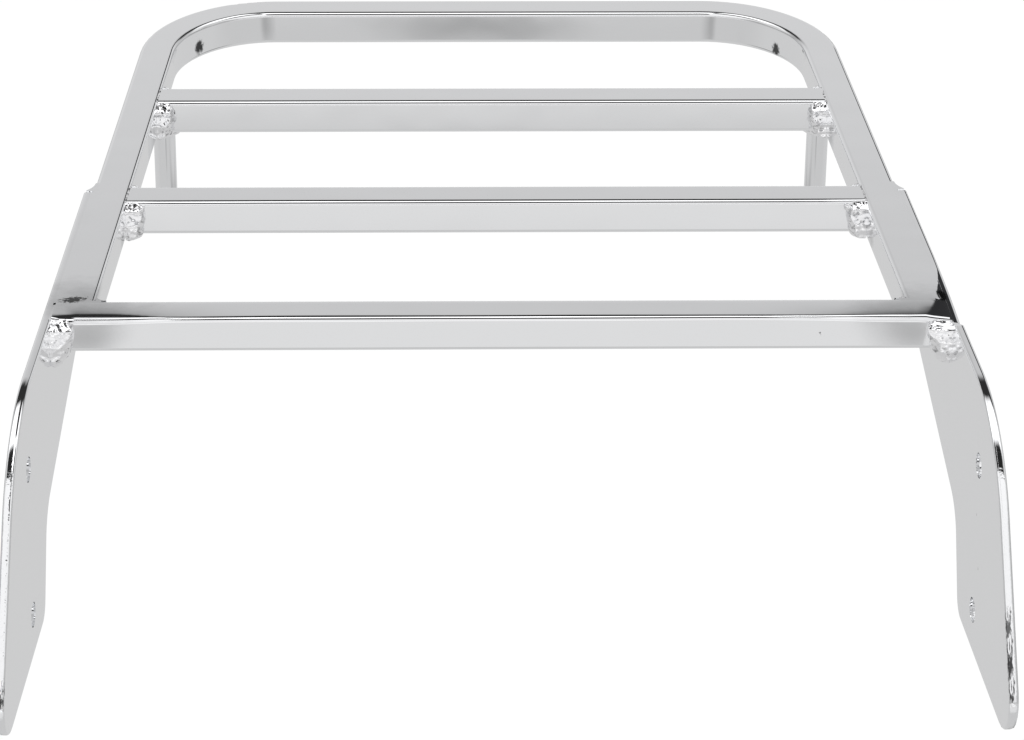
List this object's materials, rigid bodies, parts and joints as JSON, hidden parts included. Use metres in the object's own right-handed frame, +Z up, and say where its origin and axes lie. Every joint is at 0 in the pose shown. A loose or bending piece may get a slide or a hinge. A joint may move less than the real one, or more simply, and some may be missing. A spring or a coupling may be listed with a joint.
{
  "type": "motorcycle luggage rack",
  "caption": "Chromed rear rack: a bent square-bar hoop with cross bars and short posts, welded to drilled, curved side plates that bolt beside the mudguard.",
  "frame": {"origin": "centre of the bounding box, on the rack's mid-plane", "axes": "+X to the rider's right, across the rack; +Y to the rear, along it; +Z up, normal to the rack's top face"},
  "size_m": [0.3208, 0.3792, 0.091],
  "materials": {
    "chrome": "bright chrome plate over polished steel bar and plate, slightly wavy",
    "weld": "chrome plate over lumpy or ground weld metal, with small pits"
  },
  "bodies": {
    "root": {"hoop": "chrome", "front_cross_bar": "chrome", "middle_cross_bar": "chrome", "rear_cross_bar": "chrome", "side_plate_left": "chrome", "side_plate_right": "chrome", "post_left": "chrome", "post_right": "chrome", "front_bead_left": "weld", "front_bead_right": "weld", "front_corner_weld_left": "weld", "front_corner_weld_right": "weld", "middle_bead_left": "weld", "middle_bead_right": "weld", "middle_back_weld_left": "weld", "middle_back_weld_right": "weld", "rear_bead_left": "weld", "rear_bead_right": "weld", "rear_back_weld_left": "weld", "rear_back_weld_right": "weld", "post_weld_left": "weld", "post_weld_right": "weld", "plate_top_weld_left": "weld", "plate_top_weld_right": "weld", "plate_end_weld_left": "weld", "plate_end_weld_right": "weld", "plate_stitch_left": "weld", "plate_stitch_right": "weld"}
  },
  "joints": []
}
